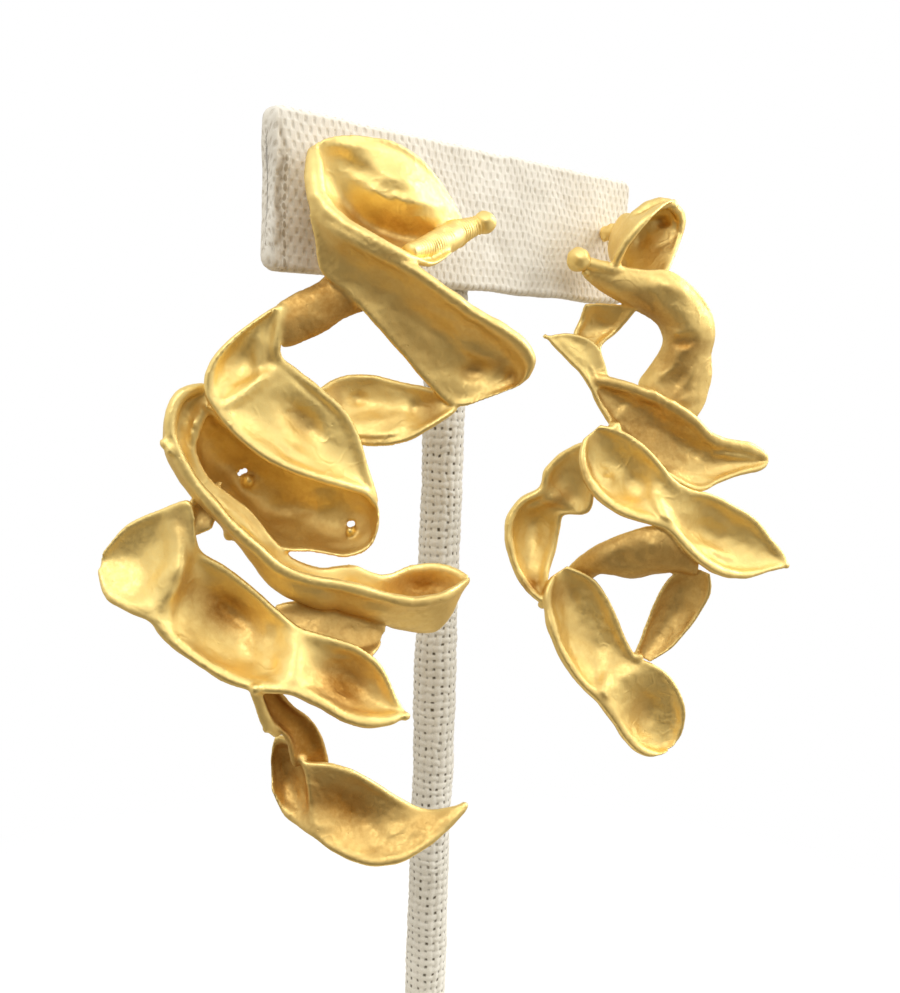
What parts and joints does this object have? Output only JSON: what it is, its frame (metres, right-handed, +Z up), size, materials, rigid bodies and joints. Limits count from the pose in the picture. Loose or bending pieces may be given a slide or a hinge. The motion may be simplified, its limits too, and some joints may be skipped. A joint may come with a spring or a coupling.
{
  "type": "pod earrings on a t-bar display stand",
  "caption": "Long cast metal earrings of curled hollow seed pods, each with a post and friction nut, hung on a plain linen-covered T-bar display stand.",
  "frame": {"origin": "on the table, under the middle of the stand's upright, in the foot's lower face", "axes": "+Z up along the upright, +X along the crossbar to the right seen from the front, +Y to the back, away from the earrings"},
  "size_m": [0.102, 0.056, 0.165],
  "materials": {
    "cast_gold": "satin gold plating over a rough cast skin, bright on the rims and brown in the deep hollows",
    "wire_gold": "smooth polished gold plating on drawn wire and turned nuts",
    "linen": "coarse natural plain-weave linen stretched over a stiff core"
  },
  "bodies": {
    "root": {"stand_foot": "linen", "stand_post": "linen", "stand_crossbar": "linen", "left_pods": "cast_gold", "left_ear_post": "wire_gold", "left_ear_nut": "wire_gold", "right_pods": "cast_gold", "right_ear_post": "wire_gold", "right_ear_nut": "wire_gold"}
  },
  "joints": []
}
